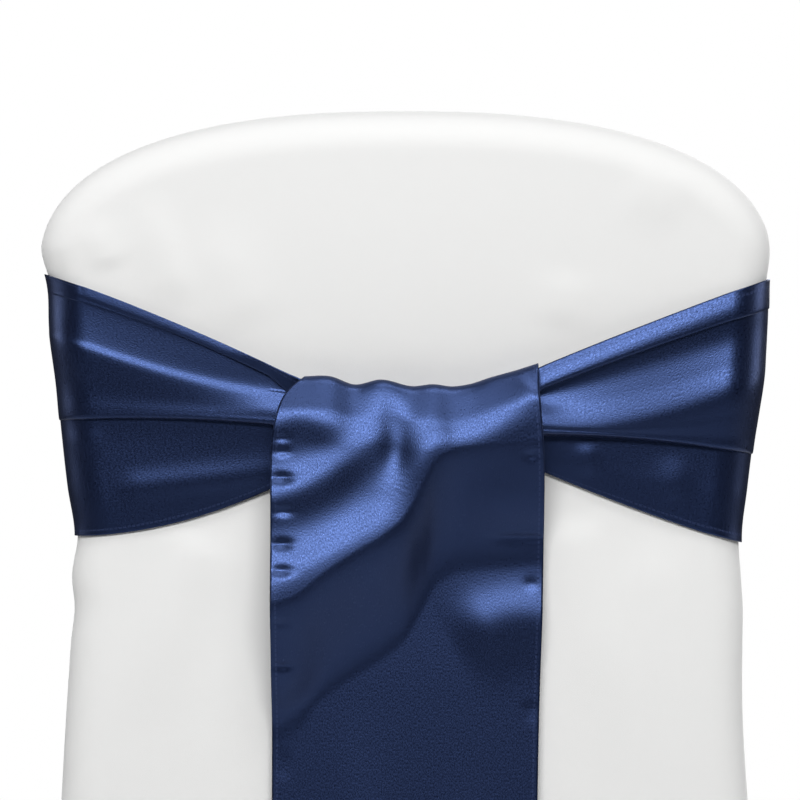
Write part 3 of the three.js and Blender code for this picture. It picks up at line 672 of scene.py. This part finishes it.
# Points nearer to each other than this, in metres, become one
WELD = 2e-5


def lengths_along(grid, axis):
    """Distances walked along a grid of points, averaged over its other way."""
    steps = np.linalg.norm(np.diff(grid, axis=axis), axis=-1).mean(axis=1 - axis)
    return np.concatenate([[0], np.cumsum(steps)])


def cloth_piece(name, grid, thickness, inward, material, width=None):
    """A piece of cloth from a grid of points. Its texture map gives its unrolled size in metres, or the width
    that it is given, which is a gathered cloth's before it was gathered."""
    rows, columns = grid.shape[:2]
    points = grid.reshape(-1, 3) / 1000
    points[:, 2] -= (CROWN_TOP - COVER_CLOTH) / 1000
    number = np.arange(rows * columns).reshape(rows, columns)
    a, b, c, d = number[:-1, :-1], number[:-1, 1:], number[1:, 1:], number[1:, :-1]
    faces = np.stack([a, b, c, d], axis=-1).reshape(-1, 4)
    mesh = bpy.data.meshes.new(name)
    mesh.from_pydata(points.tolist(), [], faces.tolist())
    along, across = lengths_along(grid, 0) / 1000, lengths_along(grid, 1) / 1000
    if width:
        across *= width / across[-1]
    flat = np.stack(np.meshgrid(across, along), axis=-1).reshape(-1, 2)
    layer = mesh.uv_layers.new(name="unrolled")
    layer.uv.foreach_set("vector", flat[faces.ravel()].ravel())
    work = bmesh.new()
    work.from_mesh(mesh)
    bmesh.ops.remove_doubles(work, verts=work.verts, dist=WELD)
    for face in work.faces:
        face.smooth = True
    work.to_mesh(mesh)
    work.free()
    piece = bpy.data.objects.new(name, mesh)
    bpy.context.collection.objects.link(piece)
    piece.data.materials.append(material)
    solid = piece.modifiers.new("cloth", "SOLIDIFY")
    solid.thickness = thickness / 1000
    solid.offset = inward
    solid.use_even_offset = False
    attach(piece, "root")
    return piece


# ---- Materials ----

WHITE = (0.88, 0.88, 0.873, 1)
NAVY = (0.002, 0.003, 0.01, 1)
NAVY_THREAD = (0.014, 0.02, 0.05, 1)
BLUE_GLOSS = (0.19, 0.31, 0.79, 1)
FLOOR_GREY = (0.7, 0.7, 0.69, 1)

# Sizes in metres: the pitch of the white cloth's threads, and each hem's row of stitches, as the pitch of its
# stitches, the share of it that is thread, and half the row's width
WEAVE_PITCH = 0.0006
COVER_STITCHES = (0.0032, 0.7, 0.0006)
SASH_STITCHES = (0.0028, 0.72, 0.0005)


class Socket:
    """A shader socket that can be worked with like a number."""

    def __init__(self, nodes, output):
        self.nodes = nodes
        self.output = output

    def maths(self, operation, *values):
        return self.nodes.add("ShaderNodeMath", {"operation": operation}, dict(enumerate(values)))

    def __add__(self, other):
        return self.maths("ADD", self, other)

    __radd__ = __add__

    def __sub__(self, other):
        return self.maths("SUBTRACT", self, other)

    def __rsub__(self, other):
        return self.maths("SUBTRACT", other, self)

    def __mul__(self, other):
        return self.maths("MULTIPLY", self, other)

    __rmul__ = __mul__

    def __lt__(self, other):
        return self.maths("LESS_THAN", self, other)

    def sine(self):
        return self.maths("SINE", self)

    def size(self):
        return self.maths("ABSOLUTE", self)

    def part(self):
        return self.maths("FRACT", self)


class Nodes:
    """The shader nodes of a material or of the room."""

    def __init__(self, tree):
        self.tree = tree

    def feed(self, socket, value):
        if isinstance(value, Socket):
            self.tree.links.new(value.output, socket)
        else:
            socket.default_value = value

    def add(self, kind, settings, inputs, output=0):
        node = self.tree.nodes.new(kind)
        for key, value in settings.items():
            setattr(node, key, value)
        for key, value in inputs.items():
            self.feed(node.inputs[key], value)
        return Socket(self, node.outputs[output])

    def split(self, vector):
        parts = self.add("ShaderNodeSeparateXYZ", {}, {0: vector})
        return [Socket(self, output) for output in parts.output.node.outputs]

    def mix(self, share, first, second):
        """A colour between two. A Mix node's sockets 6 and 7, and its output 2, are the ones for colours."""
        return self.add("ShaderNodeMix", {"data_type": "RGBA"}, {0: share, 6: first, 7: second}, 2)

    def bump(self, height, distance, strength):
        inputs = {"Height": height, "Distance": distance, "Strength": strength}
        return self.add("ShaderNodeBump", {}, inputs)


class Finish(Nodes):
    """A material, with its nodes round one Principled shader."""

    def __init__(self, name):
        self.material = bpy.data.materials.new(name)
        self.material.use_nodes = True
        super().__init__(self.material.node_tree)

    def set(self, values):
        shader = self.tree.nodes["Principled BSDF"]
        for name, value in values.items():
            self.feed(shader.inputs[name], value)


def stitched(off, along, stitches):
    """A row of stitches where off is 0: which places are in the row, and which are on a thread."""
    pitch, thread, half_width = stitches
    row = off.size() < half_width
    return row, row * ((along * (1 / pitch)).part() < thread)


def white_cloth():
    """Plain-woven white polyester, with a stitched hem along the floor."""
    finish = Finish("white_cloth")
    unrolled = finish.add("ShaderNodeUVMap", {"uv_map": "unrolled"}, {})
    across, along, _ = finish.split(unrolled)
    threads = 2 * math.pi / WEAVE_PITCH
    weave = (across * threads).sine() * (along * threads).sine()
    x, y, height = finish.split(finish.add("ShaderNodeTexCoord", {}, {}, "Object"))
    up = height - (HEM_WIDTH - CROWN_TOP + COVER_CLOTH) / 1000
    row, stitches = stitched(up, x + y, COVER_STITCHES)
    hem = up < 0
    relief = weave + 4 * hem + 6 * stitches - 5 * row
    finish.set({
        "Base Color": WHITE,
        "Roughness": 0.85,
        "Normal": finish.bump(relief, 0.00006, 0.5),
        "Sheen Weight": 0.5,
        "Sheen Roughness": 0.5,
    })
    return finish.material


def navy_satin():
    """Dark blue polyester satin. It has a soft blue gloss, with glints where its threads lie unevenly."""
    finish = Finish("navy_satin")
    unrolled = finish.add("ShaderNodeUVMap", {"uv_map": "unrolled"}, {})
    across, along, _ = finish.split(unrolled)
    threads = finish.add("ShaderNodeVectorMath", {"operation": "MULTIPLY"}, {0: unrolled, 1: (1, 0.6, 1)})
    glints = finish.add("ShaderNodeTexNoise", {}, {"Vector": threads, "Scale": 1350.0, "Detail": 1.0})
    edge = 0.5 * SASH_WIDTH - (across - 0.5 * SASH_WIDTH).size()
    row, stitches = stitched(edge - SASH_HEM, along, SASH_STITCHES)
    hem = edge < SASH_HEM
    relief = 0.2 * glints + 0.6 * stitches + 0.5 * hem - 0.6 * row
    finish.set({
        "Base Color": finish.mix(stitches, NAVY, NAVY_THREAD),
        "Roughness": 0.16 + 0.42 * glints,
        "Normal": finish.bump(relief, 0.0005, 0.8),
        "IOR": 2.3,
        "Specular IOR Level": 0.5,
        "Specular Tint": BLUE_GLOSS,
    })
    return finish.material


# ---- The room, in metres ----

FLOOR_RADIUS = 1.9
# The floor lies this far below the hem, so that the two don't coincide
FLOOR_GAP = 0.0005
# What lights the cloth from all round, and what is seen behind it
ROOM_LIGHT = (0.04, 0.04, 0.041, 1)
BACKDROP = (1, 1, 1, 1)
# The camera's distance, the width it sees there, and the middle of its view
CAMERA_FAR = 1.8
VIEW_WIDTH = 0.45
VIEW_CENTRE = (-0.0034, 0.0, (763 - CROWN_TOP + COVER_CLOTH) / 1000)
SENSOR_MM = 36


def aim(thing, towards):
    way = Vector(towards) - thing.location
    thing.rotation_euler = way.to_track_quat("-Z", "Y").to_euler()


def area_light(name, at, towards, size, power, spread=180):
    lamp = bpy.data.lights.new(name, "AREA")
    lamp.shape = "RECTANGLE"
    lamp.size, lamp.size_y = size
    lamp.energy = power
    lamp.spread = math.radians(spread)
    light = bpy.data.objects.new(name, lamp)
    bpy.context.collection.objects.link(light)
    light.location = at
    aim(light, towards)
    light.visible_camera = False


def pale_floor():
    mesh = bpy.data.meshes.new("floor")
    turns = np.radians(np.arange(0, 360, 5))
    rim = [(FLOOR_RADIUS * math.cos(turn), FLOOR_RADIUS * math.sin(turn), 0) for turn in turns]
    mesh.from_pydata(rim, [], [tuple(range(len(rim)))])
    floor = bpy.data.objects.new("floor", mesh)
    floor.location.z = solids_box[0][2] - FLOOR_GAP
    bpy.context.collection.objects.link(floor)
    pale = Finish("pale_floor")
    pale.set({"Base Color": FLOOR_GREY, "Roughness": 0.9})
    floor.data.materials.append(pale.material)


def studio():
    world = bpy.data.worlds.new("studio")
    bpy.context.scene.world = world
    world.use_nodes = True
    nodes = Nodes(world.node_tree)
    seen = nodes.add("ShaderNodeLightPath", {}, {}, "Is Camera Ray")
    background = world.node_tree.nodes["Background"]
    nodes.feed(background.inputs["Color"], nodes.mix(seen, ROOM_LIGHT, BACKDROP))

    area_light("key", (-0.1, -1.6, 0.5), (0, 0, -0.2), (1.5, 0.34), 12, spread=125)
    area_light("top", (0.2, -1.0, 1.7), (0, 0, -0.2), (1.2, 0.8), 7, spread=120)
    for name, x in (("left_fill", -2.0), ("right_fill", 2.0)):
        area_light(name, (x, 0.3, 0.3), (0, 0.1, -0.3), (1.0, 1.4), 8.5)
    area_light("far_fill", (1.0, 2.6, 0.9), (0, 0.2, -0.5), (2.0, 1.6), 52)


def camera():
    lens = bpy.data.cameras.new("camera")
    eye = bpy.data.objects.new("camera", lens)
    bpy.context.collection.objects.link(eye)
    bpy.context.scene.camera = eye
    eye.location = (VIEW_CENTRE[0], -CAMERA_FAR, VIEW_CENTRE[2])
    aim(eye, VIEW_CENTRE)
    lens.sensor_width = SENSOR_MM
    lens.lens = SENSOR_MM * CAMERA_FAR / VIEW_WIDTH
    bpy.context.scene.view_settings.view_transform = "Standard"


# ---- The whole ----


def cover_and_sash():
    white, navy = white_cloth(), navy_satin()
    panels = (
        ("back_panel", back_panel_grid(), (0.61, 0.97), 0.50),
        ("inside_panel", inside_panel_grid(), (0.43, 0.46), 0.183),
        ("seat_panel", seat_panel_grid(), (0.475, 0.865), 0.38),
        ("left_skirt", skirt_grid(-1), (0.41, 0.49), 0.185),
        ("right_skirt", skirt_grid(1), (0.41, 0.49), 0.185),
    )
    for node, grid, flat, area in panels:
        piece = cloth_piece(node + "_cloth", grid, COVER_THICKNESS, -1, white)
        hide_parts(node)
    band = cloth_piece("sash_band", sash_band_grid(), SASH_CLOTH, 0, navy, SASH_WIDTH)
    tails = cloth_piece("sash_tails", tail_grid(), SASH_CLOTH, 0, navy, SASH_WIDTH)
    for piece in (band, tails):
        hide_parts("sash")


camera()
pale_floor()
studio()
cover_and_sash()
